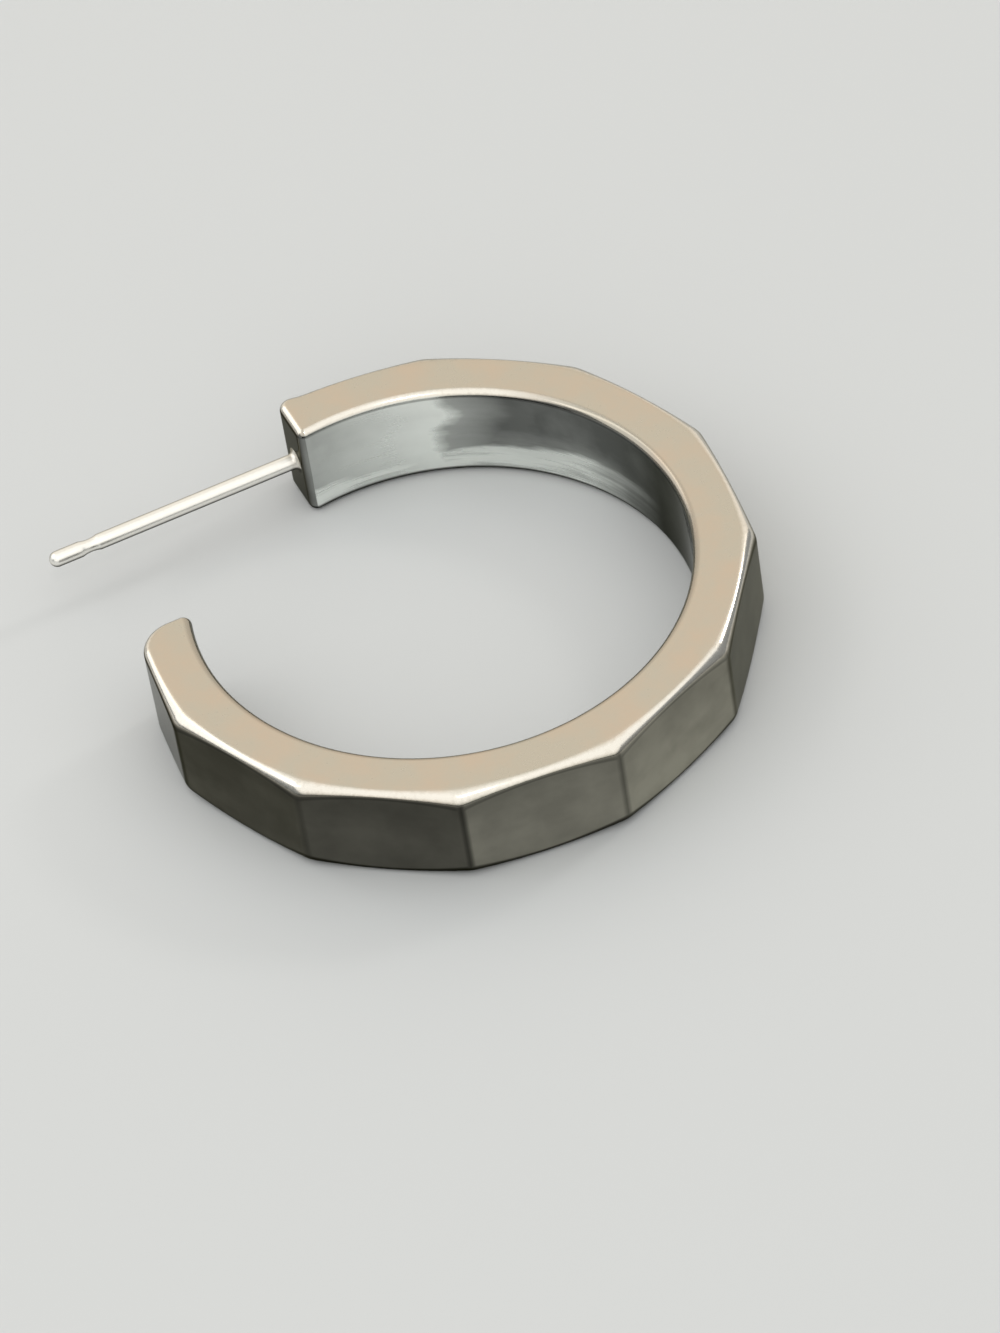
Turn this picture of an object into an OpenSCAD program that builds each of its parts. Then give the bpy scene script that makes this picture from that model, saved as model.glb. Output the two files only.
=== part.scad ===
// Geometric hoop earring, lying on its side.
// A C-shaped band has a smooth round hole and straight flats round its outside.
// A quarter of the ring is left open for the ear lobe, and a straight ear post
// is soldered to the band's end across that opening. Band and post are one solid.
// The hoop's axis is Z and its lower side face is at Z = 0. The post points
// along -X. The origin is under the middle of the whole earring. Millimetres.

/* [Band] */
// Inner diameter of the round hole
hole_d = 22.8; // [18:0.2:28]
// Thickness of the band at the middle of a flat
wall_t = 2.45; // [1.8:0.05:3]
// Width of the band from one side face to the other
band_w = 5.1; // [2.6:0.1:6.6]
// Number of flats that a closed ring would have
flat_count = 12; // [10:1:14]
// Direction of the corner at which the band meets the post, turned from +X
post_corner = 98.5; // [94:0.5:101]
// Distance by which the band's end face stops short of that corner
end_trim = 0.15; // [0:0.05:0.4]
// Radius of the band's long edges
edge_r = 0.4; // [0.2:0.05:0.6]
// Radius of the outer upright edge of each end face
outer_end_r = 0.7; // [0.5:0.05:0.9]
// Radius of the inner upright edge of each end face
inner_end_r = 0.3; // [0.1:0.05:0.3]
// How much is polished off each corner between two flats
corner_wear = 0.08; // [0.04:0.01:0.14]

/* [Opening] */
// Room for the ear lobe, from the post's axis to the face of the free end
lobe_gap = 8.8; // [7:0.2:10]

/* [Post] */
// Diameter of the ear post
post_d = 0.75; // [0.6:0.05:1]
// Length of the ear post, from the band's end face to its tip
post_l = 12.5; // [9:0.5:15]
// Distance from the tip to the middle of the groove that holds an ear nut
groove_at = 2; // [1.4:0.1:3]
// Length of that groove along the post
groove_l = 0.9; // [0.4:0.1:1]
// Depth of that groove
groove_depth = 0.07; // [0.02:0.01:0.08]
// Radius of the solder fillet round the root of the post
solder_r = 0.25; // [0.1:0.05:0.4]

/* [Hidden] */

silver = [0.80, 0.76, 0.70];
round_fn = 96;

// Angle from one flat to the next, and the radii of the ring's outline
flat_step = 360 / flat_count;
hole_r = hole_d / 2;
flat_r = hole_r + wall_t;
corner_r = flat_r / cos(flat_step / 2);
worn_r = corner_r - corner_wear;

// Directions that the flats face, counted from the one that ends at the post
flats = [for (i = [0 : flat_count - 1]) post_corner - (i + 0.5) * flat_step];

// The post's end face looks along -X, and the free end's face along +Y
post_r = post_d / 2;
post_end_x = corner_r * cos(post_corner) + end_trim;
post_y = sqrt(pow(hole_r + wall_t / 2, 2) - pow(post_end_x, 2));
free_end_y = post_y - lobe_gap;

// Slabs that shape the band reach this far past the middle of the hole
span = 2 * corner_r;
// The post's root is sunk this far into the band
root_sink = 1;
// Cutters reach this far past the side faces
cut_past = 1;
// Two sizes nearer than this are taken as equal
tiny = 0.001;

// Where two lines cross, each given by the direction it faces and its distance
function meet(dir_a, dist_a, dir_b, dist_b) = [
    (dist_a * sin(dir_b) - dist_b * sin(dir_a)) / sin(dir_b - dir_a),
    (dist_b * cos(dir_a) - dist_a * cos(dir_b)) / sin(dir_b - dir_a)
];

function toward(direction, distance) = [distance * cos(direction), distance * sin(direction)];

// Distance along -X at which a flat crosses the plane of the free end's face
function reach_left(flat) = -(flat_r - free_end_y * sin(flat)) / cos(flat);
left_flats = [for (a = flats) if (cos(a) < -tiny) a];
left_reach = min([for (a = left_flats) reach_left(a)]);
free_flat = [for (a = left_flats) if (reach_left(a) < left_reach + tiny) a][0];

// Box round the whole earring. A worn corner spans a small angle on each side.
wear_span = flat_step / 2 - acos(flat_r / worn_r);
corners = [for (a = flats) a + flat_step / 2];
kept_corners = [for (c = corners)
    if (worn_r * cos(c) > post_end_x + edge_r || worn_r * sin(c) < free_end_y) c];
function off_axis(angle, axis) = acos(cos(angle - axis));
function farthest(axis) = max([
    for (c = kept_corners) worn_r * cos(max(0, off_axis(c, axis) - wear_span))
]);
end_round = meet(flats[0], flat_r - outer_end_r, 180, -post_end_x - outer_end_r);
tip_x = post_end_x - post_l;
mid_x = (farthest(0) + min(tip_x, -farthest(180))) / 2;
mid_y = (end_round[1] + outer_end_r - farthest(-90)) / 2;

// Section of a slab whose face stands at a distance, with both its edges rounded
module slab_section(distance) {
    translate([-span, 0])
        square([span + distance - edge_r, band_w]);
    translate([-span, edge_r])
        square([span + distance, band_w - 2 * edge_r]);
    for (z = [edge_r, band_w - edge_r])
        translate([distance - edge_r, z])
            circle(r = edge_r, $fn = round_fn);
}

// Slab as high as the band is wide, whose upright face looks in a direction
module slab(direction, distance) {
    rotate([0, 0, direction])
        rotate([90, 0, 0])
            linear_extrude(height = 2 * span, center = true)
                slab_section(distance);
}

// Closed ring's outside: the space that all the flats' slabs share, corners worn
module ring_outside() {
    intersection() {
        intersection_for(a = flats)
            slab(a, flat_r);
        cylinder(r = worn_r, h = band_w, $fn = round_fn);
    }
}

// Round hole, flared at both mouths by the radius of the band's edges
module round_hole() {
    translate([0, 0, -cut_past])
        cylinder(r = hole_r, h = band_w + 2 * cut_past, $fn = round_fn);
    rotate_extrude($fn = round_fn)
        difference() {
            translate([hole_r - edge_r, 0])
                square([2 * edge_r, band_w]);
            translate([hole_r, edge_r])
                square([2 * edge_r, band_w - 2 * edge_r]);
            for (z = [edge_r, band_w - edge_r])
                translate([hole_r + edge_r, z])
                    circle(r = edge_r, $fn = round_fn);
        }
}

// What is left of the ring: all that lies behind either end face
module kept_part() {
    slab(180, -post_end_x);
    slab(90, free_end_y);
}

// Cuts an upright edge of an end face to a round about a centre. The two faces
// that meet at the edge look in dir_a and dir_b.
module edge_cut(centre, dir_a, dir_b, radius) {
    side_a = toward(dir_a, 2 * radius);
    side_b = toward(dir_b, 2 * radius);
    translate([centre[0], centre[1], -cut_past])
        linear_extrude(height = band_w + 2 * cut_past)
            difference() {
                polygon([[0, 0], side_a, side_a + side_b, side_b]);
                circle(r = radius, $fn = round_fn);
            }
}

// Outer upright edge of an end face, between the face and a flat
module outer_edge_cut(flat, face, face_distance) {
    centre = meet(flat, flat_r - outer_end_r, face, face_distance - outer_end_r);
    edge_cut(centre, flat, face, outer_end_r);
}

// Inner upright edge of the post's end face, between the face and the hole
module inner_edge_cut_post() {
    x = post_end_x + inner_end_r;
    y = sqrt(pow(hole_r + inner_end_r, 2) - pow(x, 2));
    edge_cut([x, y], 180, atan2(-y, -x), inner_end_r);
}

// Inner upright edge of the free end's face, between the face and the hole
module inner_edge_cut_free() {
    y = free_end_y - inner_end_r;
    x = -sqrt(pow(hole_r + inner_end_r, 2) - pow(y, 2));
    edge_cut([x, y], 90, atan2(-y, -x), inner_end_r);
}

module band() {
    difference() {
        intersection() {
            ring_outside();
            kept_part();
        }
        round_hole();
        outer_edge_cut(flats[0], 180, -post_end_x);
        outer_edge_cut(free_flat, 90, free_end_y);
        inner_edge_cut_post();
        inner_edge_cut_free();
    }
}

// Half section of the post, from its sunk root up to its round tip. The groove
// for the nut is hollowed out to a round.
module post_section() {
    straight_l = post_l - post_r;
    groove_r = (pow(groove_l / 2, 2) + pow(groove_depth, 2)) / (2 * groove_depth);
    difference() {
        translate([0, -root_sink])
            square([post_r, root_sink + straight_l]);
        translate([post_r - groove_depth + groove_r, post_l - groove_at])
            circle(r = groove_r, $fn = round_fn);
    }
    intersection() {
        translate([0, straight_l])
            circle(r = post_r, $fn = round_fn);
        translate([0, straight_l - post_r / 2])
            square([post_d, post_d]);
    }
}

// Half section of the solder: a collar in the band with a hollow fillet before it
module solder_section() {
    difference() {
        translate([post_r / 2, -root_sink])
            square([post_r / 2 + solder_r, root_sink + solder_r]);
        translate([post_r + solder_r, solder_r])
            circle(r = solder_r, $fn = round_fn);
    }
}

// Turns a half section about the post's axis, from the band's end face outwards
module turned_on_post_axis() {
    translate([post_end_x, post_y, band_w / 2])
        rotate([0, -90, 0])
            rotate_extrude($fn = round_fn)
                children();
}

module ear_post() {
    turned_on_post_axis()
        post_section();
}

module solder_fillet() {
    turned_on_post_axis()
        solder_section();
}

module faceted_hoop() {
    color(silver)
        translate([-mid_x, -mid_y, 0]) {
            band();
            ear_post();
            solder_fillet();
        }
}

faceted_hoop();
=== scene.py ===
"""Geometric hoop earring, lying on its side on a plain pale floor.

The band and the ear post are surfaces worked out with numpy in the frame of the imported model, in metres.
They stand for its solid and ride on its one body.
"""

import math
from types import SimpleNamespace

import bpy
import numpy as np
from mathutils import Matrix, Vector


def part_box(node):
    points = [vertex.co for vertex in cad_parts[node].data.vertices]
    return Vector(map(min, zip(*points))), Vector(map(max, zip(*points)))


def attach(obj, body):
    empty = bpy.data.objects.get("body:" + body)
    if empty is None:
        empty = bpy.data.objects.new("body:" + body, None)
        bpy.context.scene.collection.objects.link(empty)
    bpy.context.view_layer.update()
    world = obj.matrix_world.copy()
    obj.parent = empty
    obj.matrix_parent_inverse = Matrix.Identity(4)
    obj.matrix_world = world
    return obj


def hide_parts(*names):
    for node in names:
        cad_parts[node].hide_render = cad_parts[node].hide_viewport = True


bl_info = {
    "name": "Geometric Hoop Earring",
    "version": (1, 0, 0),
    "blender": (4, 5, 0),
    "location": "3D View > Sidebar > Earring",
    "description": "A C-shaped silver hoop with flats round its outside and a straight ear post",
    "category": "Object",
}

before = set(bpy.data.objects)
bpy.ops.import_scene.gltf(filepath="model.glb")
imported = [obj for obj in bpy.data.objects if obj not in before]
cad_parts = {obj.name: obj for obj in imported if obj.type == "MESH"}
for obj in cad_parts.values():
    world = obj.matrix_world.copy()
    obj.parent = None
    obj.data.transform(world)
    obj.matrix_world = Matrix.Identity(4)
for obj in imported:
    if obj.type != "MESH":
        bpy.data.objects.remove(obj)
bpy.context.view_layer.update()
SOLID = "faceted_hoop"
SOLID_LOW, SOLID_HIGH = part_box(SOLID)

MM = 0.001
BODY = "root"

# The middle of the hoop's hole, and where the post's axis leaves the band's end face
HOOP_CENTRE = (0.16239 * MM, 0.03245 * MM)
POST_ROOT = (-1.80699 * MM, 12.50290 * MM, 2.55 * MM)

# How many of the closed ring's flats the opening takes away
OPEN_FLATS = 2
# Directions that the end faces face, turned from +X: +Y at the free end, and -X at the post, which is
# counted a whole turn on, as the outline's normals go round to it
FREE_FACE = math.pi / 2
POST_FACE = 3 * math.pi

# Steps across each rounded edge, each worn corner between two flats and each half of an end's upright corner
EDGE_STEPS = 10
CORNER_STEPS = 8
END_STEPS = 7
# Points inside each flat, inside the straight part of each end face, and up the straight part of each wall
FLAT_POINTS = 17
END_POINTS = 7
WALL_ROWS = 7
# Points along the post: on its solder, its plain stretch, its groove, the neck before its tip, and the tip
SOLDER_POINTS = 12
PLAIN_POINTS = 12
GROOVE_POINTS = 15
NECK_POINTS = 5
TIP_POINTS = 13
# Points round the post
POST_TURNS = 56
# Share of the ring's length over which a side face's grid gets straight again beside an end face
END_REACH = 0.10
# How fast the long edges may get rounder away from an end face
END_SHARE = 0.15
# A row this near to a rounded edge keeps its shading off the flat beside it
HOLD = 0.05 * MM
# Points nearer than this are one point
NEAR = 0.0002 * MM

# Spans on a rounded edge, as shares of its quarter turn from the wall to the side face. On an upper edge,
# the satin of the side face comes in, the edge is rubbed bright with a painted highlight, and a thin dark
# line of painted reflection runs. On a lower edge, it turns dark with painted shadow, and the satin comes
# in.
SATIN_SPAN = (0.24, 0.44)
RUBBED_HIGHLIGHT_SPAN = (0.16, 1.0)
PAINTED_LINE_SPAN = (0.0, 0.25)
PAINTED_SHADOW_SPAN = (0.0, 0.25)
LOW_SATIN_SPAN = (0.80, 1.0)
# How deep the painted dark line and the painted shade in the corners between flats are, where a lower
# edge's painted shadow is 1
PAINTED_LINE_DEPTH = 0.3
CORNER_SHADE_DEPTH = 0.6
# How light each flat is painted, a painted reflection of its surroundings, from the free end round to the
# post
PAINTED_FLAT_LIGHTS = (0.13, 0.21, 0.19, 0.46, 0.66, 0.50, 0.68, 0.52, 0.62, 0.36)
# How dark the painted shade in the corner after each of those flats is, as a share of the corner depth above
CORNER_PAINTED_SHADES = (0.5, 0.35, 1.0, 0.6, 0.5, 0.5, 0.5, 0.5, 0.5)
# Attributes of the band's points that its material reads as numbers
MARKS = ("side", "edge", "hole", "crease", "pane", "turn", "level")

BLACK = (0.0, 0.0, 0.0)
# How much of the light the silver sends on where it is seen edge-on
GRAZING = (0.45, 0.45, 0.42)
# What the side faces' colour is multiplied by in their pinkish and in their greenish patches of painted
# reflection
PINK_TINT = (1.04, 0.98, 0.95)
GREEN_TINT = (0.957, 0.997, 1.02)
# How fine the patterns are, in cells per metre: a number for an even one, three for one that is drawn out
CLOUDS = 420.0
WAVES = 300.0
GRAIN = 5200.0
SMEARS = (130.0, 620.0, 620.0)
STREAKS = (170.0, 1900.0, 1900.0)
SCRATCHES = (500.0, 16000.0, 16000.0)
WIRE_GRAIN = 6500.0
WIRE_RINGS = (12000.0, 900.0, 900.0)
# Height of the relief: the polish's slow waves, fine lines on a wall, grain of a side face, rings, solder
WAVE_RELIEF = 1.0e-2 * MM
LINE_RELIEF = 1.2e-4 * MM
GRAIN_RELIEF = 3.0e-4 * MM
RING_RELIEF = 2.5e-4 * MM
SOLDER_RELIEF = 8.0e-4 * MM
# Spans from the root of the post's axis, along X, Y and Z: solder, painted brownish reflection on the far
# side, painted dark reflection on the underside
SOLDER_SPAN = (-0.55 * MM, -0.15 * MM)
PAINTED_FAR_SPAN = (0.06 * MM, 0.24 * MM)
PAINTED_UNDER_SPAN = (0.02 * MM, -0.17 * MM)

# Floor: its radius in metres, and the number of corners round its rim
FLOOR_REACH = 1.5
FLOOR_CORNERS = 64
# Colour of the light from all round
ROOM_COLOUR = (0.93, 0.98, 1.0)
# The middle of the band's width, which the lights face
LIGHT_TARGET = (0.0, 0.0, 2.5 * MM)
# Soft lights: name, colour, size in metres, bearing from +X and height above the horizon in degrees, and
# distance in metres
LIGHTS = (
    ("top_light", (1.0, 0.975, 0.92), (0.80, 0.86), -108.0, 62.0, 0.30),
    ("back_light", (1.0, 0.90, 0.77), (0.90, 0.52), 70.0, 31.0, 0.45),
    ("left_light", (1.0, 0.985, 0.95), (0.40, 0.34), 146.0, 32.0, 0.40),
    ("side_light", (1.0, 0.97, 0.92), (0.05, 0.05), 12.0, 34.0, 0.36),
    ("front_light", (1.0, 0.99, 0.97), (0.04, 0.04), -106.0, 58.0, 0.36),
)
# Camera fitted to the photograph: its lens, its sensor's width and its place in millimetres, and the
# directions of its right, its top and its back
LENS = 184.64
SENSOR_WIDTH = 36.0
CAMERA_PLACE = (-66.728, -207.938, 221.505)
CAMERA_RIGHT = (0.898075, -0.423922, -0.117264)
CAMERA_TOP = (0.380843, 0.616088, 0.689489)
CAMERA_BACK = (-0.220045, -0.663872, 0.714741)
# The nearest and the farthest that the camera sees, in metres
CAMERA_RANGE = (0.01, 10.0)


class BandSizes(bpy.types.PropertyGroup):
    """Sizes of the C-shaped band"""

    hole_radius: bpy.props.FloatProperty(
        name="Hole radius", description="Radius of the smooth round hole", default=11.4 * MM, unit="LENGTH",
        precision=5
    )
    flat_reach: bpy.props.FloatProperty(
        name="Flat reach", description="From the middle of the hole to each flat", default=13.85 * MM,
        unit="LENGTH", precision=5
    )
    width: bpy.props.FloatProperty(
        name="Width",
        description="From one side face of the band to the other",
        default=SOLID_HIGH[2] - SOLID_LOW[2],
        unit="LENGTH",
        precision=5,
    )
    flat_count: bpy.props.IntProperty(
        name="Flats", description="Number of flats that a closed ring would have", default=12, min=6, max=24
    )
    post_corner: bpy.props.FloatProperty(
        name="Post corner",
        description="Direction of the corner at which the band meets the post, turned from +X",
        default=math.radians(98.5),
        unit="ROTATION",
    )
    post_end: bpy.props.FloatProperty(
        name="Post end", description="From the middle of the hole to the end face with the post, along -X",
        default=1.96938 * MM, unit="LENGTH", precision=5
    )
    free_end: bpy.props.FloatProperty(
        name="Free end", description="From the middle of the hole to the free end's face, along +Y",
        default=3.67045 * MM, unit="LENGTH", precision=5
    )
    edge_round: bpy.props.FloatProperty(
        name="Edge round", description="Radius of the long edges and of the edges round the end faces",
        default=0.4 * MM, unit="LENGTH", precision=5
    )
    corner_wear: bpy.props.FloatProperty(
        name="Corner wear", description="Share of a corner's reach past the flats that the radius takes up",
        default=0.9, min=0, max=1
    )
    free_round: bpy.props.FloatProperty(
        name="Free round", description="Radius of the outer upright edge of the free end", default=1.7 * MM,
        unit="LENGTH", precision=5
    )
    post_round: bpy.props.FloatProperty(
        name="Post round", description="Radius of the outer upright edge of the end with the post",
        default=0.65 * MM, unit="LENGTH", precision=5
    )
    inner_round: bpy.props.FloatProperty(
        name="Inner round", description="Radius of the inner upright edges of both ends", default=0.42 * MM,
        unit="LENGTH", precision=5
    )
    corner_round: bpy.props.FloatProperty(
        name="Corner round", description="Radius of the polished corner between two flats", default=1.0 * MM,
        unit="LENGTH", precision=5
    )


class PostSizes(bpy.types.PropertyGroup):
    """Sizes of the ear post and of its solder"""

    radius: bpy.props.FloatProperty(
        name="Radius", description="Radius of the post", default=0.375 * MM, unit="LENGTH", precision=6
    )
    length: bpy.props.FloatProperty(
        name="Length", description="From the band's end face to the tip", default=12.5 * MM, unit="LENGTH",
        precision=5
    )
    groove_from_tip: bpy.props.FloatProperty(
        name="Groove from tip", description="From the tip to the middle of the nut's groove",
        default=2.0 * MM, unit="LENGTH", precision=5
    )
    groove_length: bpy.props.FloatProperty(
        name="Groove length", description="Length of the groove along the post", default=0.9 * MM,
        unit="LENGTH", precision=6
    )
    groove_depth: bpy.props.FloatProperty(
        name="Groove depth", description="Depth of the groove", default=0.07 * MM, unit="LENGTH", precision=6
    )
    solder: bpy.props.FloatProperty(
        name="Solder", description="Radius of the hollow fillet of solder at the root", default=0.25 * MM,
        unit="LENGTH", precision=6
    )
    sunk: bpy.props.FloatProperty(
        name="Sunk", description="How far the root reaches into the band", default=0.5 * MM, unit="LENGTH",
        precision=5
    )


class SilverFinish(bpy.types.PropertyGroup):
    """Colours and polish of the silver"""

    # Warm tone that stands in for a painted warm reflection on the silver
    side_colour: bpy.props.FloatVectorProperty(
        name="Side colour", description="Warm tone of the satin side faces", default=(0.628, 0.562, 0.462),
        size=3, subtype="COLOR", min=0, max=1
    )
    # Tone of the hole's wall where the painted reflection is brightest
    hole_colour: bpy.props.FloatVectorProperty(
        name="Hole colour", description="Cool tone of the hole's polished wall", default=(0.97, 1.0, 0.96),
        size=3, subtype="COLOR", min=0, max=1
    )
    # Tone of the flats, scaled flat by flat by painted reflections
    wall_colour: bpy.props.FloatVectorProperty(
        name="Wall colour", description="Tone of the polished flats", default=(0.596, 0.576, 0.484), size=3,
        subtype="COLOR", min=0, max=1
    )
    # Rubbed edges: worn bright, and lighter still as a painted highlight
    rubbed_highlight_colour: bpy.props.FloatVectorProperty(
        name="Edge colour", description="Bright tone of the rubbed edges", default=(0.87, 0.825, 0.75),
        size=3, subtype="COLOR", min=0, max=1
    )
    post_colour: bpy.props.FloatVectorProperty(
        name="Post colour", description="Bright tone of the drawn wire", default=(0.99, 0.975, 0.93), size=3,
        subtype="COLOR", min=0, max=1
    )
    dull_colour: bpy.props.FloatVectorProperty(
        name="Dull colour", description="Duller tone in the grain of the drawn wire",
        default=(0.92, 0.90, 0.84), size=3, subtype="COLOR", min=0, max=1
    )
    solder_colour: bpy.props.FloatVectorProperty(
        name="Solder colour", description="Tone of the solder at the post's root",
        default=(0.80, 0.76, 0.69), size=3, subtype="COLOR", min=0, max=1
    )
    # Painted reflection on the far side of the post
    far_reflection_colour: bpy.props.FloatVectorProperty(
        name="Far colour", description="Brownish tone of the far side of the post",
        default=(0.42, 0.38, 0.29), size=3, subtype="COLOR", min=0, max=1
    )
    side_rough: bpy.props.FloatProperty(
        name="Side roughness", description="Roughness of the satin side faces", default=0.3, min=0, max=1
    )
    wall_rough: bpy.props.FloatProperty(
        name="Wall roughness", description="Roughness of the polished flats", default=0.09, min=0, max=1
    )
    post_rough: bpy.props.FloatProperty(
        name="Post roughness", description="Roughness of the drawn wire", default=0.3, min=0, max=1
    )


class StageLook(bpy.types.PropertyGroup):
    """Floor and studio light"""

    floor_colour: bpy.props.FloatVectorProperty(
        name="Floor colour", description="Plain pale floor", default=(0.62, 0.635, 0.645), size=3,
        subtype="COLOR", min=0, max=1
    )
    top_light: bpy.props.FloatProperty(
        name="Top light", description="Power of the wide soft light overhead", default=1.8, unit="POWER"
    )
    back_light: bpy.props.FloatProperty(
        name="Back light", description="Power of the warm panel behind the earring", default=1.0,
        unit="POWER"
    )
    left_light: bpy.props.FloatProperty(
        name="Left light", description="Power of the panel on the left", default=0.42, unit="POWER"
    )
    front_light: bpy.props.FloatProperty(
        name="Front light", description="Power of the small light beside the camera", default=0.05,
        unit="POWER"
    )
    side_light: bpy.props.FloatProperty(
        name="Side light", description="Power of the smaller light on the right", default=0.12, unit="POWER"
    )
    air: bpy.props.FloatProperty(
        name="Room light", description="Strength of the light from all round", default=0.28, min=0
    )


class Plug:
    """One output socket of a node. Python's operators on it add Math nodes."""

    def __init__(self, board, socket):
        self.board = board
        self.socket = socket

    def __add__(self, other):
        return self.board.maths("ADD", self, other)

    __radd__ = __add__

    def __sub__(self, other):
        return self.board.maths("SUBTRACT", self, other)

    def __rsub__(self, other):
        return self.board.maths("SUBTRACT", other, self)

    def __mul__(self, other):
        return self.board.maths("MULTIPLY", self, other)

    __rmul__ = __mul__


class Board:
    """The node tree of one new material, with the one method that adds a node."""

    def __init__(self, name):
        self.material = bpy.data.materials.new(name)
        self.material.use_nodes = True
        self.tree = self.material.node_tree
        self.tree.nodes.clear()

    def add(self, kind, settings, inputs, output=0):
        """Adds a node, applies its settings, fills its inputs and gives the output asked for as a Plug."""
        node = self.tree.nodes.new(kind)
        for name, value in settings.items():
            if name == "stops":
                self.set_stops(node.color_ramp, value)
            else:
                setattr(node, name, value)
        for name, value in inputs.items():
            if isinstance(value, Plug):
                self.tree.links.new(value.socket, node.inputs[name])
            else:
                node.inputs[name].default_value = value
        return Plug(self, node.outputs[output]) if node.outputs else node

    @staticmethod
    def set_stops(ramp, stops):
        """Fills a colour ramp with grey levels at their places."""
        while len(ramp.elements) < len(stops):
            ramp.elements.new(1.0)
        for element, (place, level) in zip(ramp.elements, stops):
            element.position = place
            element.color = (level, level, level, 1.0)

    def maths(self, operation, first, second):
        """One Math node on two numbers or Plugs."""
        return self.add("ShaderNodeMath", {"operation": operation}, {0: first, 1: second})

    def blend(self, share, first, second):
        """Colour that goes from the first to the second as the share goes from 0 to 1."""
        ends = {6: as_colour(first), 7: as_colour(second)}
        return self.add("ShaderNodeMix", {"data_type": "RGBA"}, {0: share, **ends}, 2)

    def ramp(self, value, *stops):
        """Level that goes straight from stop to stop, each of them a value and the level there."""
        return self.add("ShaderNodeValToRGB", {"stops": stops}, {"Fac": value})

    def step(self, value, start, stop):
        """Level that goes smoothly from 0 to 1 as the value goes from start to stop."""
        inputs = {"Value": value, "From Min": start, "From Max": stop}
        return self.add("ShaderNodeMapRange", {"interpolation_type": "SMOOTHSTEP"}, inputs)

    def mark(self, name, output):
        """One of the piece's own attributes."""
        return self.add("ShaderNodeAttribute", {"attribute_name": name}, {}, output)

    def stretched(self, where, scales):
        """Coordinates times a scale for each axis, for a pattern that is drawn out."""
        return self.add("ShaderNodeMapping", {}, {"Vector": where, "Scale": scales})

    def noise(self, where, scale, detail, rough):
        """Noise from 0 to 1, with its cells to a metre, its finer octaves and how strong those are."""
        inputs = {"Vector": where, "Scale": scale, "Detail": detail, "Roughness": rough}
        return self.add("ShaderNodeTexNoise", {}, inputs)


def as_colour(value):
    """A Plug as it is, or three numbers as an opaque colour."""
    return value if isinstance(value, Plug) else (*value, 1.0)


def tinted(colour, tint):
    """A colour times a tint, channel by channel."""
    return tuple(c * k for c, k in zip(colour, tint))


def band_patterns(board):
    """What the band's silver reads at a point: the point's own marks, and noises that break up its tones.

    side is 0 on a wall and 1 on a side face, edge is 1 near the middle of an upper rounded edge, hole is 1
    on the hole's wall, and a flat's mark of light is how light the flat is painted, a painted reflection.
    The
    mark of shade is painted shade: up to 0.6 of painted dark reflection in the corner between two flats, up
    to
    0.3 in the painted dark line along an upper rounded edge, and 1 of painted shadow on a lower one. turn
    goes from 0 to 1 round the ring from the post, level goes from 0 to 1 up a wall, and lane runs along the
    ring and up the wall, in metres.
    """
    at = SimpleNamespace(**{name: board.mark(name, "Fac") for name in MARKS})
    at.lane = board.mark("lane", "Vector")
    at.place = board.add("ShaderNodeTexCoord", {}, {}, "Object")
    at.cloud = board.noise(at.place, CLOUDS, 3.0, 0.55)
    at.grain = board.noise(at.place, GRAIN, 2.0, 0.6)
    at.smear = board.noise(board.stretched(at.lane, SMEARS), 1.0, 4.0, 0.55)
    at.patch = board.ramp(at.cloud, (0.38, 0.0), (0.66, 1.0))
    at.mottle = 0.79 + 0.26 * at.patch + 0.38 * at.smear
    return at


def side_tone(board, at, finish):
    """Warm tone of the side faces, a painted warm reflection on the silver, in soft pinkish and greenish
    patches.
    """
    pink = tinted(finish.side_colour, PINK_TINT)
    green = tinted(finish.side_colour, GREEN_TINT)
    return board.blend(0.8 * at.patch + 0.5 * (at.grain - 0.4), green, pink)


def painted_flat_tone(board, at, finish):
    """Dark tone of the flats, painted reflection: each flat painted lighter or darker, and a little lighter
    towards the foot.
    """
    fade = board.ramp(at.level, (0.10, 1.0), (0.45, 0.82), (0.90, 0.62))
    return board.blend(at.pane * fade * at.mottle, BLACK, finish.wall_colour)


def painted_light_share(board, at):
    """Painted light on the hole's wall, a painted reflection: bright up all its height near the post and at
    its streaked foot beyond.
    """
    round_to = at.turn + 0.04 * (at.smear - 0.5) + 0.03 * (at.cloud - 0.5)
    whole = board.ramp(
        round_to, (0.0, 0.45), (0.06, 0.85), (0.086, 1.0), (0.097, 0.40), (0.116, 0.24), (0.138, 0.0)
    )
    climb = at.level + 0.6 * (at.smear - 0.5) - 0.5 * (round_to - 0.13)
    foot = board.ramp(climb, (0.18, 1.0), (0.30, 0.85), (0.38, 0.2), (0.60, 0.0))
    reach = board.ramp(round_to, (0.185, 1.0), (0.225, 0.3), (0.26, 0.0))
    drift = board.noise(board.stretched(at.lane, STREAKS), 1.0, 3.0, 0.6)
    streak = board.ramp(drift, (0.36, 0.55), (0.56, 1.0))
    return board.maths("MAXIMUM", whole, foot * reach * streak)


def hole_tone(board, at, painted_light, finish):
    """Cool tone of the hole's wall, a painted reflection: bright where light is painted, painted dim
    elsewhere, and cloudy round at the right.
    """
    near = board.ramp(at.turn, (0.11, 0.50), (0.15, 0.75), (0.18, 1.0), (0.22, 0.95), (0.26, 0.35))
    beyond = board.ramp(at.turn, (0.26, 0.0), (0.38, 1.0))
    dim = 0.03 + (0.12 + 0.08 * at.patch) * near + 0.22 * (beyond * at.mottle)
    return board.blend(dim + (1 - dim) * painted_light, BLACK, finish.hole_colour)


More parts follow.
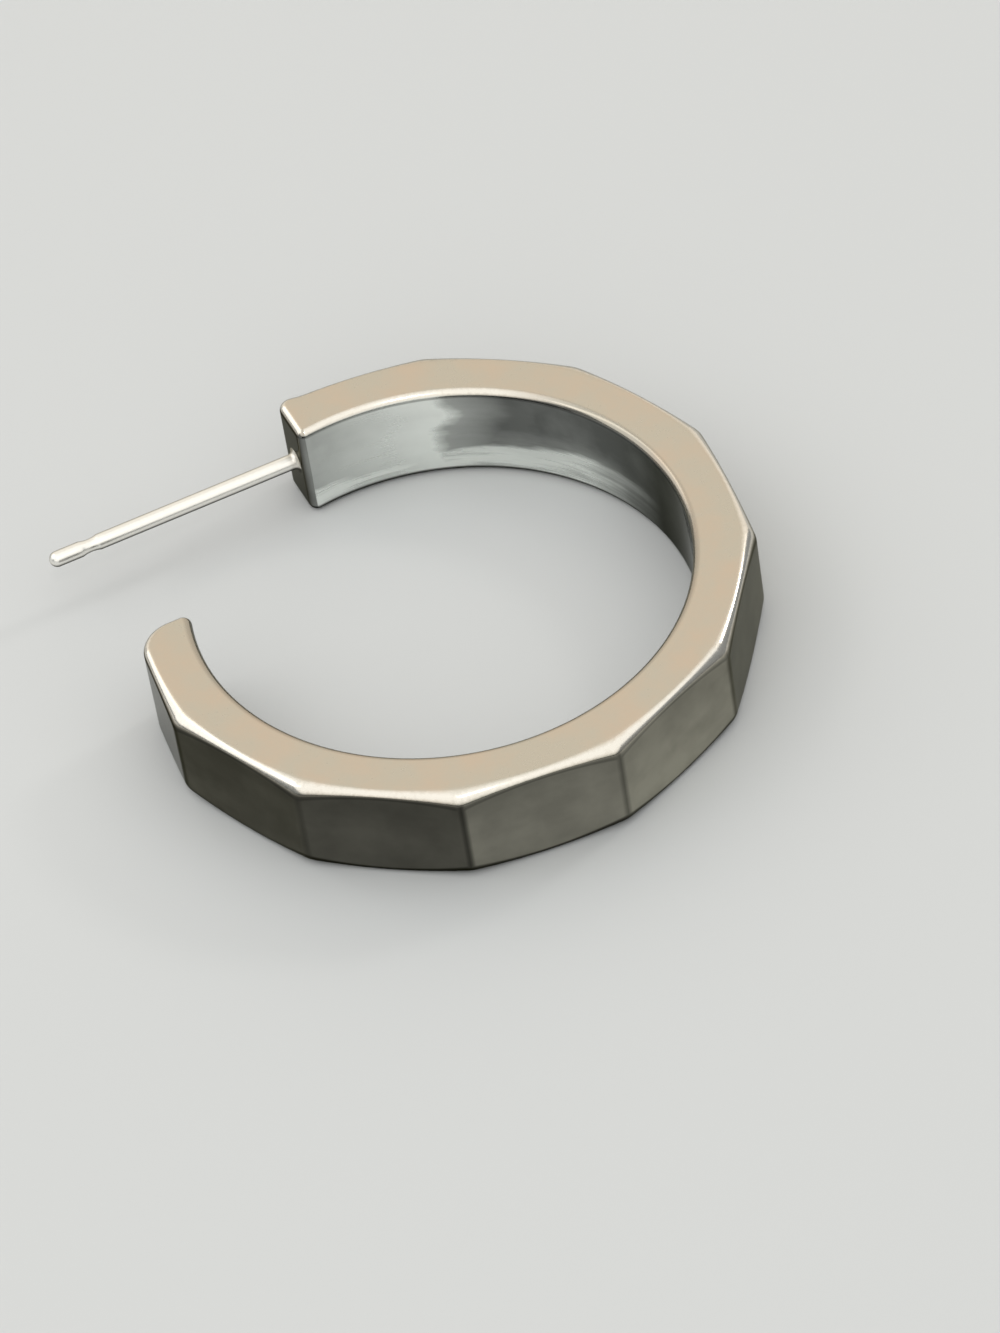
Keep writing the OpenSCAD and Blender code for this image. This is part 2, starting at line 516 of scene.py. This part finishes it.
def satin_and_polish(finish):
    """Silver of the band: satin side faces, polished walls with fine scratches, bright rubbed edges, and
    painted reflection, highlight and shade.
    """
    board = Board("band_silver")
    at = band_patterns(board)
    painted_light = painted_light_share(board, at)
    wall = board.blend(at.hole, painted_flat_tone(board, at, finish), hole_tone(board, at, painted_light, finish))
    # Painted shade: dark reflection in the corners and under the upper edges, shadow on the lower edges
    dark = board.ramp(at.crease, (0.03, 0.0), (0.35, 0.55), (0.6, 0.72), (1.0, 0.94))
    wall = board.blend(dark, wall, BLACK)
    tone = board.blend(at.side, wall, side_tone(board, at, finish))

    # Rubbed edges are bright with a painted highlight, but away from the post the hole's rim loses it and is
    # darkened as painted shade
    rubbed = board.ramp(at.edge * (0.75 + 0.5 * at.grain), (0.45, 0.0), (0.95, 1.0))
    painted_rim_shade = at.hole * board.ramp(at.turn, (0.13, 0.0), (0.19, 1.0))
    tone = board.blend(rubbed * (1 - 0.85 * painted_rim_shade), tone, finish.rubbed_highlight_colour)
    tone = board.blend(0.35 * (painted_rim_shade * at.edge), tone, BLACK)

    drawn = board.stretched(at.lane, SCRATCHES)
    lines = board.noise(drawn, 1.0, 3.0, 0.6)
    scuffs = board.ramp(board.noise(drawn, 0.35, 4.0, 0.7), (0.60, 0.0), (0.72, 1.0))
    side_rough = finish.side_rough + 0.10 * (at.grain - 0.5) + 0.08 * (at.cloud - 0.5)
    wall_rough = finish.wall_rough + 0.05 * (lines - 0.5) + 0.16 * scuffs + 0.22 * (at.hole * painted_light)
    rough = wall_rough + at.side * (side_rough - wall_rough) - 0.12 * (rubbed * at.side)

    wave = board.noise(at.place, WAVES, 1.0, 0.4)
    scratched = (1 - at.side) * (LINE_RELIEF * lines - LINE_RELIEF * scuffs)
    height = WAVE_RELIEF * wave + scratched + GRAIN_RELIEF * (at.side * at.grain)
    bare_metal(board, tone, rough, height)
    return board.material


def drawn_wire(finish):
    """Silver of the post: bright drawn wire with fine rings, dull at the solder, a painted brownish
    reflection on its far side and painted dark reflection underneath.
    """
    board = Board("post_silver")
    place = board.add("ShaderNodeTexCoord", {}, {}, "Object")
    along, across, up = (board.add("ShaderNodeSeparateXYZ", {}, {"Vector": place}, axis) for axis in "XYZ")
    solder, beyond, under = (
        board.step(value, root + start, root + stop)
        for value, root, (start, stop) in zip(
            (along, across, up), POST_ROOT, (SOLDER_SPAN, PAINTED_FAR_SPAN, PAINTED_UNDER_SPAN)
        )
    )
    grain = board.noise(place, WIRE_GRAIN, 2.0, 0.6)
    rings = board.noise(board.stretched(place, WIRE_RINGS), 1.0, 2.0, 0.6)
    tone = board.blend(grain, finish.dull_colour, finish.post_colour)
    tone = board.blend(solder * (0.4 + 0.6 * grain), tone, finish.solder_colour)
    # Painted brownish reflection on the far side, and painted dark reflection on the underside
    tone = board.blend(0.75 * beyond, tone, finish.far_reflection_colour)
    tone = board.blend(0.9 * under, tone, BLACK)
    rough = finish.post_rough + 0.08 * (rings - 0.5) + 0.08 * solder
    bare_metal(board, tone, rough, RING_RELIEF * rings + SOLDER_RELIEF * (solder * grain))
    return board.material


def bare_metal(board, tone, rough, height):
    """Metal with a tone, a roughness and a relief of a height in metres."""
    bump = board.add("ShaderNodeBump", {}, {"Strength": 1.0, "Distance": 1.0, "Height": height})
    inputs = {"Base Color": tone, "Metallic": 1.0, "Roughness": rough, "Normal": bump}
    inputs["Specular Tint"] = as_colour(GRAZING)
    metal = board.add("ShaderNodeBsdfPrincipled", {}, inputs, "BSDF")
    board.add("ShaderNodeOutputMaterial", {}, {"Surface": metal})


def plain_floor(colour):
    """Matt, even floor."""
    board = Board("floor_matt")
    inputs = {"Base Color": as_colour(colour), "Roughness": 0.75, "Specular IOR Level": 0.25}
    skin = board.add("ShaderNodeBsdfPrincipled", {}, inputs, "BSDF")
    board.add("ShaderNodeOutputMaterial", {}, {"Surface": skin})
    return board.material


def turned(angle):
    """Unit vectors in plan for an array of directions, in radians."""
    return np.stack([np.cos(angle), np.sin(angle)], axis=-1)


def arc(centre, radius, start, stop, count):
    """Arc in plan: centre plus radius times the unit vector of a direction going evenly from start to stop.

    Gives the points and their outward normals, which are those unit vectors.
    """
    normal = turned(np.linspace(start, stop, count))
    return np.asarray(centre) + radius * normal, normal


def crossing(dir_a, dist_a, dir_b, dist_b):
    """Point in plan where two lines cross, each given by the direction it faces and its distance."""
    rows = np.stack([turned(np.asarray(dir_a)), turned(np.asarray(dir_b))])
    return np.linalg.solve(rows, np.array([dist_a, dist_b]))


def straight(first, last, normal, count):
    """Points inside a straight stretch between two points, the end ones a hold's length from its ends."""
    share = HOLD / np.linalg.norm(last - first)
    steps = np.linspace(share, 1 - share, count)[:, None]
    return first + steps * (last - first), np.repeat(normal[None], count, axis=0)


def outer_side(flats, start, stop, sizes):
    """Outer side of the band between two end corners: flats, and small arcs that touch both beside them."""
    step = 2 * math.pi / sizes.flat_count
    corner_reach = (sizes.flat_reach - sizes.corner_round) / math.cos(step / 2)
    corners = [
        arc(corner_reach * turned(flat + step / 2), sizes.corner_round, flat, flat + step, CORNER_STEPS + 1)
        for flat in flats[:-1]
    ]
    bends = [start, *corners, stop]
    runs = [start]
    for flat, before, after in zip(flats, bends, bends[1:]):
        runs.append(straight(before[0][-1], after[0][0], turned(np.asarray(flat)), FLAT_POINTS))
        runs.append(after)
    return joined(runs)


def hole_side(outer, low, high, radius):
    """The hole's circle from a turn low to a turn high, a hold's length inside both.

    Its points share that angle out as the outer side's points, without its end corners, share out their own.
    """
    inside = slice(END_STEPS, len(outer[0]) - END_STEPS)
    turn = np.unwrap(np.arctan2(outer[0][inside, 1], outer[0][inside, 0]))
    share = (turn - turn[0]) / (turn[-1] - turn[0])
    hold = HOLD / radius
    look = (low + hold) + share * (high - low - 2 * hold) + math.pi
    return -radius * turned(look), turned(look)


def band_outline(sizes):
    """The band's outline in plan, as four sides of points and outward normals, about the middle of the hole.

    The outer and the inner side run from the free end round to the post, and the end faces' sides run from
    the outer to the inner side. They meet in the middle of the end faces' rounded upright corners, each of
    which is an arc that touches the face and the flat or the hole beside it.
    """
    step = 2 * math.pi / sizes.flat_count
    kept = sizes.flat_count - OPEN_FLATS
    flats = [sizes.post_corner + 2 * math.pi - (k + 0.5) * step for k in range(kept)][::-1]
    free_r, post_r, inner_r = sizes.free_round, sizes.post_round, sizes.inner_round
    reach = sizes.hole_radius + inner_r

    # Middles of the upright corners' arcs
    free_outer = crossing(flats[0], sizes.flat_reach - free_r, FREE_FACE, sizes.free_end - free_r)
    post_outer = crossing(flats[-1], sizes.flat_reach - post_r, POST_FACE, sizes.post_end - post_r)
    free_inner = np.array([-math.sqrt(reach**2 - (sizes.free_end - inner_r) ** 2), sizes.free_end - inner_r])
    post_inner = np.array([inner_r - sizes.post_end, math.sqrt(reach**2 - (sizes.post_end - inner_r) ** 2)])

    # Directions that the hole's ends face, and those in the middle of each arc, where two sides meet
    free_turn = math.atan2(-free_inner[1], -free_inner[0]) + 2 * math.pi
    post_turn = math.atan2(-post_inner[1], -post_inner[0]) + 4 * math.pi
    free_outer_bend = (FREE_FACE + flats[0]) / 2
    post_outer_bend = (flats[-1] + POST_FACE) / 2
    free_inner_bend = (free_turn + FREE_FACE + 2 * math.pi) / 2
    post_inner_bend = (POST_FACE + post_turn) / 2

    start = arc(free_outer, free_r, free_outer_bend, flats[0], END_STEPS)
    stop = arc(post_outer, post_r, flats[-1], post_outer_bend, END_STEPS)
    outer = outer_side(flats, start, stop, sizes)
    inner = joined(
        [
            arc(free_inner, inner_r, free_inner_bend, free_turn, END_STEPS),
            hole_side(outer, free_turn - math.pi, post_turn - math.pi, sizes.hole_radius),
            arc(post_inner, inner_r, post_turn, post_inner_bend, END_STEPS),
        ]
    )
    post_side = end_side(
        arc(post_outer, post_r, post_outer_bend, POST_FACE, END_STEPS),
        arc(post_inner, inner_r, POST_FACE, post_inner_bend, END_STEPS),
        np.array([-1.0, 0.0]),
    )
    free_side = end_side(
        arc(free_outer, free_r, free_outer_bend, FREE_FACE, END_STEPS),
        arc(free_inner, inner_r, FREE_FACE + 2 * math.pi, free_inner_bend, END_STEPS),
        np.array([0.0, 1.0]),
    )
    return outer, inner, post_side, free_side


def joined(parts):
    """Several runs of points and normals as one."""
    return np.concatenate([p for p, _ in parts]), np.concatenate([n for _, n in parts])


def end_side(outer_bend, inner_bend, normal):
    """An end face's side of the outline, from its outer corner to its inner one."""
    middle = straight(outer_bend[0][-1], inner_bend[0][0], normal, END_POINTS)
    return joined([outer_bend, middle, inner_bend])


def rounding(points, sizes):
    """Radius of the long edge beside each point of the outline: the edge is rubbed rounder at the corners.

    radius = edge_round + corner_wear * (distance from the middle of the hole - flat_reach), where that is
    positive. Beside an end face the distance in brackets is kept under END_SHARE times that from the face.
    """
    past_flat = np.linalg.norm(points, axis=-1) - sizes.flat_reach
    from_end = np.maximum(points[..., 0] + sizes.post_end, sizes.free_end - points[..., 1])
    extra = np.clip(np.minimum(past_flat, END_SHARE * from_end), 0, None)
    return sizes.edge_round + sizes.corner_wear * extra


def edge_profile(width, radius):
    """Sections up a wall, one for each radius: each row's distance inside the outline, height and slant.

    A quarter circle leads out from the lower side face, a straight wall goes up, and a quarter circle leads
    in. inset = radius times (1 - cos of the slant). height = the quarter's centre + radius times its sine.
    """
    bend = np.linspace(0, math.pi / 2, EDGE_STEPS + 1)
    share = np.linspace(0, 1, WALL_ROWS)
    slant = np.concatenate([-bend[::-1], np.zeros(len(share)), bend])
    radius = radius[:, None]
    low = radius + HOLD
    rise = low + share * (width - 2 * low)
    lower = radius * (1 - np.sin(bend[::-1]))
    upper = width - radius * (1 - np.sin(bend))
    height = np.concatenate([lower, rise, upper], axis=1)
    return radius * (1 - np.cos(slant)), height, slant


def ring_of(sides):
    """The four sides as one closed run of points, normals and distance along it, without doubled corners."""
    outer, inner, post_side, free_side = sides
    runs = [outer, post_side, (inner[0][::-1], inner[1][::-1]), (free_side[0][::-1], free_side[1][::-1])]
    points = np.concatenate([p[:-1] for p, _ in runs])
    normals = np.concatenate([n[:-1] for _, n in runs])
    gaps = np.linalg.norm(np.roll(points, -1, axis=0) - points, axis=1)
    along = np.concatenate([[0.0], np.cumsum(gaps)[:-1]])
    return points, normals, along


def painted_flats_and_corners(normals, count, sizes):
    """Painted shade in the corner between two flats at each point of the outline, and the painted light of
    its flat.

    Both stand in for reflections. The first is 0 on a flat, and the corner depth times the corner's tone
    where the normal points halfway between two flats. The second goes evenly from one flat's tone to the
    next over the corner between them.
    """
    step = 2 * math.pi / sizes.flat_count
    facing = np.unwrap(np.arctan2(normals[:-1, 1], normals[:-1, 0]))
    past = (facing - sizes.post_corner) / step
    first = (facing[END_STEPS] - sizes.post_corner) / step
    crease = np.zeros(count)
    worn = slice(END_STEPS, len(past) - END_STEPS)
    depth = np.interp(past[worn] - first, np.arange(len(CORNER_PAINTED_SHADES)) + 0.5, CORNER_PAINTED_SHADES)
    crease[worn] = 2 * CORNER_SHADE_DEPTH * np.abs(past[worn] % 1 - 0.5) * depth
    pane = np.full(count, PAINTED_FLAT_LIGHTS[0])
    pane[: len(past)] = np.interp(past - first, np.arange(len(PAINTED_FLAT_LIGHTS)), PAINTED_FLAT_LIGHTS)
    return crease, pane


def share_of(value, start, stop):
    """How far a value has come from start to stop, from 0 to 1."""
    return np.clip((value - start) / (stop - start), 0, 1)


def wall_surface(sides, sizes):
    """Wall of the band all the way round, with one row of points for each point of its outline.

    point(s, t) = outline(s) - inset(s, t) * normal(s), at height(s, t). Gives the grid of points and the
    values that the material reads.
    """
    points, normals, along = ring_of(sides)
    inset, height, slant = edge_profile(sizes.width, rounding(points, sizes))
    plan = points[:, None] - inset[..., None] * normals[:, None]
    grid = np.concatenate([plan, height[..., None]], axis=-1)
    tilt = slant / (math.pi / 2)
    satin = share_of(tilt, *SATIN_SPAN) + share_of(-tilt, *LOW_SATIN_SPAN)
    # The rubbed upper edge is worn bright and carries a painted highlight
    rubbed = np.sin(share_of(tilt, *RUBBED_HIGHLIGHT_SPAN) * math.pi)
    # A thin painted dark reflection runs under the upper edge's highlight
    line = PAINTED_LINE_DEPTH * np.sin(share_of(tilt, *PAINTED_LINE_SPAN) * math.pi)
    inward = np.clip(-np.sum(points * normals, axis=1) / np.linalg.norm(points, axis=1), 0, 1)
    crease, pane = painted_flats_and_corners(sides[0][1], len(points), sizes)
    bearing = np.arctan2(points[:, 1], points[:, 0])
    turn = (sizes.post_corner - bearing) % (2 * math.pi) / (2 * math.pi)
    marks = {
        "side": satin[None, :],
        "edge": rubbed[None, :],
        "hole": inward[:, None],
        # Painted dark reflection in the corners and under the upper edges, painted shadow on the lower edges
        "crease": np.maximum(crease[:, None], share_of(-tilt, *PAINTED_SHADOW_SPAN) + line),
        "pane": pane[:, None],
        "turn": turn[:, None],
        "level": height / sizes.width,
    }
    marks = {name: np.broadcast_to(values, height.shape) for name, values in marks.items()}
    marks["lane"] = np.stack([*np.broadcast_arrays(along[:, None], height), np.zeros(height.shape)], axis=-1)
    return grid, marks


def side_surface(sides, sizes, height):
    """Flat side face between four sides, each of them the outline moved in by the rounded edge's radius.

    point(u, v) = the two long sides blended by v, plus a share of how far each end face's side strays from
    the straight line between its corners. The share is (1 - distance along / END_REACH) squared near the end
    and 0 beyond.
    """
    outer, inner, post_side, free_side = [p - rounding(p, sizes)[:, None] * n for p, n in sides]
    u = share_along(outer)[:, None, None]
    v = share_along(post_side)[None, :, None]
    plan = (1 - v) * outer[:, None] + v * inner[:, None]
    for side, away, k in ((free_side, u, 0), (post_side, 1 - u, -1)):
        stray = side[None] - (1 - v) * outer[k] - v * inner[k]
        plan = plan + np.maximum(1 - away / END_REACH, 0) ** 2 * stray
    return np.concatenate([plan, np.full((*plan.shape[:2], 1), height)], axis=-1)


def share_along(points):
    """How far along a run each of its points is, from 0 to 1."""
    along = np.concatenate([[0.0], np.cumsum(np.linalg.norm(np.diff(points, axis=0), axis=1))])
    return along / along[-1]


def grid_faces(rows, columns, start=0, loop=False):
    """Quads between neighbouring rows and columns of a grid whose points are numbered row by row."""
    index = start + np.arange(rows * columns).reshape(rows, columns)
    if loop:
        index = np.concatenate([index, index[:1]])
    quads = np.stack([index[:-1, :-1], index[1:, :-1], index[1:, 1:], index[:-1, 1:]], axis=-1)
    return quads.reshape(-1, 4)


def fused(points, faces, marks):
    """Makes one point of each group of doubled points, so that seams close, and keeps its marks."""
    keys = np.round(points / NEAR).astype(np.int64)
    _, first, inverse = np.unique(keys, axis=0, return_index=True, return_inverse=True)
    return points[first], inverse.reshape(-1)[faces], {name: values[first] for name, values in marks.items()}


def band_surface(sizes):
    """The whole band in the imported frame, its wall and both side faces, with its seams closed.

    Gives the points, the faces and the marks. On a side face side is 1 and every other mark is 0.
    """
    sides = band_outline(sizes)
    wall, marks = wall_surface(sides, sizes)
    upper = side_surface(sides, sizes, sizes.width)
    lower = side_surface(sides, sizes, 0.0)
    wall_count, upper_count, lower_count = (grid[..., 0].size for grid in (wall, upper, lower))
    faces = [
        grid_faces(*wall.shape[:2], loop=True),
        grid_faces(*upper.shape[:2], start=wall_count),
        grid_faces(*lower.shape[:2], start=wall_count + upper_count)[:, ::-1],
    ]
    points = np.concatenate([grid.reshape(-1, 3) for grid in (wall, upper, lower)])
    points[:, :2] += HOOP_CENTRE
    for name, values in marks.items():
        fill = np.full((upper_count + lower_count, *values.shape[2:]), float(name == "side"))
        marks[name] = np.concatenate([values.reshape(-1, *values.shape[2:]), fill])
    return fused(points, np.concatenate(faces), marks)


def piece(name, points, faces, material):
    """New object at the origin from a table of points and a table of quads, shaded smooth.

    A corner of a quad that repeats the next one is dropped, which leaves a triangle.
    """
    kept = faces != np.roll(faces, -1, axis=1)
    faces, kept = faces[kept.sum(axis=1) > 2], kept[kept.sum(axis=1) > 2]
    corners = faces[kept]
    totals = kept.sum(axis=1)
    mesh = bpy.data.meshes.new(name)
    mesh.vertices.add(len(points))
    mesh.vertices.foreach_set("co", points.astype(np.float32).ravel())
    mesh.loops.add(len(corners))
    mesh.loops.foreach_set("vertex_index", corners.astype(np.int32))
    mesh.polygons.add(len(faces))
    mesh.polygons.foreach_set("loop_start", (np.cumsum(totals) - totals).astype(np.int32))
    mesh.polygons.foreach_set("use_smooth", np.ones(len(faces), dtype=bool))
    mesh.update(calc_edges=True)
    if mesh.validate():
        raise RuntimeError(f"the mesh of {name} had faults")
    mesh.materials.append(material)
    made = bpy.data.objects.new(name, mesh)
    bpy.context.scene.collection.objects.link(made)
    return made


def give(made, name, values):
    """Stores a number or a vector for each point of a piece, under a name that its material reads."""
    kind, field = ("FLOAT_VECTOR", "vector") if values.ndim == 2 else ("FLOAT", "value")
    attribute = made.data.attributes.new(name, kind, "POINT")
    attribute.data.foreach_set(field, values.astype(np.float32).ravel())


def settle(made):
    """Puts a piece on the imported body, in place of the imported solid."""
    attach(made, BODY)
    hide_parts(SOLID)


def post_profile(sizes):
    """Half section of the post: distance from the band's end face and radius, from the sunk root to the tip.

    The solder is a quarter circle hollowed between face and post, the groove is an arc of the circle through
    its two rims and its floor, and the tip is a quarter circle.
    """
    fillet = np.linspace(0, math.pi / 2, SOLDER_POINTS)
    solder_x = sizes.solder * (1 - np.cos(fillet))
    solder_r = sizes.radius + sizes.solder * (1 - np.sin(fillet))
    tip_x0 = sizes.length - sizes.radius
    half = sizes.groove_length / 2
    bow = (half**2 + sizes.groove_depth**2) / (2 * sizes.groove_depth)
    swing = np.linspace(-1, 1, GROOVE_POINTS) * math.asin(half / bow)
    groove_x = sizes.length - sizes.groove_from_tip + bow * np.sin(swing)
    groove_r = sizes.radius - sizes.groove_depth + bow * (1 - np.cos(swing))
    plain_x = np.linspace(sizes.solder, groove_x[0], PLAIN_POINTS)[1:-1]
    neck_x = np.linspace(groove_x[-1], tip_x0, NECK_POINTS)[1:-1]
    bend = np.linspace(0, math.pi / 2, TIP_POINTS)[:-1]
    tip_x = tip_x0 + sizes.radius * np.sin(bend)
    along = np.concatenate([[-sizes.sunk], solder_x, plain_x, groove_x, neck_x, tip_x])
    radius = np.concatenate(
        [
            [solder_r[0]],
            solder_r,
            np.full(len(plain_x), sizes.radius),
            groove_r,
            np.full(len(neck_x), sizes.radius),
            sizes.radius * np.cos(bend),
        ]
    )
    return along, radius


def turned_surface(along, radius, length, root):
    """Surface of revolution about -X: point(s, a) = root + along(s) on -X and radius(s) at angle a round it.

    A point on the axis closes each of its two ends, the outer one at the length. Gives points and faces.
    """
    angle = np.linspace(0, 2 * math.pi, POST_TURNS, endpoint=False)
    wide = radius[None, :]
    x = np.broadcast_to(root[0] - along[None, :], (POST_TURNS, len(along)))
    y = root[1] + wide * np.cos(angle)[:, None]
    z = root[2] + wide * np.sin(angle)[:, None]
    points = np.stack([x, y, z], axis=-1).reshape(-1, 3)
    quads = grid_faces(POST_TURNS, len(along), loop=True)[:, ::-1]
    starts = np.arange(POST_TURNS) * len(along)
    stops = starts + len(along) - 1
    sunk = np.full(POST_TURNS, len(points))
    tip = sunk + 1
    sunk_cap = np.stack([starts, np.roll(starts, -1), sunk, sunk], axis=-1)
    tip_cap = np.stack([np.roll(stops, -1), stops, tip, tip], axis=-1)
    on_axis = np.array([[root[0] - along[0], root[1], root[2]], [root[0] - length, root[1], root[2]]])
    return np.concatenate([points, on_axis]), np.concatenate([quads, sunk_cap, tip_cap])


class EARRING_OT_band(bpy.types.Operator):
    """Builds the C-shaped band with its flats, its round hole and its rounded edges"""

    bl_idname = "earring.band"
    bl_label = "Build band"

    def execute(self, context):
        points, faces, marks = band_surface(context.scene.earring_band)
        band = piece("band", points, faces, satin_and_polish(context.scene.earring_finish))
        for name, values in marks.items():
            give(band, name, values)
        settle(band)
        return {"FINISHED"}


class EARRING_OT_post(bpy.types.Operator):
    """Builds the ear post with its solder, its groove and its round tip"""

    bl_idname = "earring.post"
    bl_label = "Build ear post"

    def execute(self, context):
        sizes = context.scene.earring_post
        along, radius = post_profile(sizes)
        points, faces = turned_surface(along, radius, sizes.length, POST_ROOT)
        post = piece("ear_post", points, faces, drawn_wire(context.scene.earring_finish))
        settle(post)
        return {"FINISHED"}


class EARRING_OT_stage(bpy.types.Operator):
    """Lays the floor, hangs the soft lights and places the camera"""

    bl_idname = "earring.stage"
    bl_label = "Build stage"

    def execute(self, context):
        look = context.scene.earring_stage
        lay_floor(look)
        fill_room(look)
        for name, *setting in LIGHTS:
            hang_light(name, getattr(look, name), *setting)
        place_camera()
        context.scene.view_settings.view_transform = "Standard"
        return {"FINISHED"}


def lay_floor(look):
    """Floor: a disc whose rim is far outside every view."""
    rim = turned(np.linspace(0, 2 * math.pi, FLOOR_CORNERS, endpoint=False)) * FLOOR_REACH
    mesh = bpy.data.meshes.new("floor")
    corners = np.concatenate([rim, np.zeros((len(rim), 1))], axis=1)
    mesh.from_pydata(corners.tolist(), [], [list(range(len(rim)))])
    mesh.materials.append(plain_floor(look.floor_colour))
    floor = bpy.data.objects.new("floor", mesh)
    bpy.context.scene.collection.objects.link(floor)


def fill_room(look):
    """Even light from all round, a little cooler than the lamps."""
    world = bpy.data.worlds.new("room")
    world.use_nodes = True
    background = world.node_tree.nodes["Background"]
    background.inputs["Color"].default_value = as_colour(ROOM_COLOUR)
    background.inputs["Strength"].default_value = look.air
    bpy.context.scene.world = world


def hang_light(name, power, colour, size, bearing, height, distance):
    """Oblong soft light facing the target, at a bearing and a height above the horizon in degrees."""
    data = bpy.data.lights.new(name, "AREA")
    data.energy = power
    data.color = colour
    data.shape = "RECTANGLE"
    data.size, data.size_y = size
    lamp = bpy.data.objects.new(name, data)
    a, e = math.radians(bearing), math.radians(height)
    away = Vector((math.cos(a) * math.cos(e), math.sin(a) * math.cos(e), math.sin(e)))
    lamp.location = Vector(LIGHT_TARGET) + away * distance
    lamp.rotation_mode = "QUATERNION"
    lamp.rotation_quaternion = away.to_track_quat("Z", "Y")
    lamp.visible_camera = False
    bpy.context.scene.collection.objects.link(lamp)


def place_camera():
    """Puts the fitted camera in its place, without blur."""
    data = bpy.data.cameras.new("camera")
    data.lens = LENS
    data.sensor_width = SENSOR_WIDTH
    data.sensor_fit = "AUTO"
    data.clip_start, data.clip_end = CAMERA_RANGE
    data.dof.use_dof = False
    camera = bpy.data.objects.new("camera", data)
    turn = Matrix((CAMERA_RIGHT, CAMERA_TOP, CAMERA_BACK)).transposed().to_4x4()
    camera.matrix_world = Matrix.Translation(Vector(CAMERA_PLACE) * MM) @ turn
    bpy.context.scene.collection.objects.link(camera)
    bpy.context.scene.camera = camera


class EARRING_PT_panel(bpy.types.Panel):
    """Lists the sizes, the colours and the steps of the earring"""

    bl_idname = "EARRING_PT_panel"
    bl_label = "Geometric hoop earring"
    bl_space_type = "VIEW_3D"
    bl_region_type = "UI"
    bl_category = "Earring"

    def draw(self, context):
        layout = self.layout
        for group in GROUPS:
            box = layout.box()
            owner = getattr(context.scene, group)
            for name in owner.__annotations__:
                box.prop(owner, name)
        for step in STEPS:
            layout.operator(step)


GROUPS = {
    "earring_band": BandSizes,
    "earring_post": PostSizes,
    "earring_finish": SilverFinish,
    "earring_stage": StageLook,
}
CLASSES = (
    BandSizes,
    PostSizes,
    SilverFinish,
    StageLook,
    EARRING_OT_band,
    EARRING_OT_post,
    EARRING_OT_stage,
    EARRING_PT_panel,
)
STEPS = (EARRING_OT_band.bl_idname, EARRING_OT_post.bl_idname, EARRING_OT_stage.bl_idname)


def register():
    for kind in CLASSES:
        bpy.utils.register_class(kind)
    for name, kind in GROUPS.items():
        setattr(bpy.types.Scene, name, bpy.props.PointerProperty(type=kind))


def unregister():
    for name in GROUPS:
        delattr(bpy.types.Scene, name)
    for kind in reversed(CLASSES):
        bpy.utils.unregister_class(kind)


def main():
    register()
    bpy.ops.earring.band()
    bpy.ops.earring.post()
    bpy.ops.earring.stage()


if __name__ == "__main__":
    main()
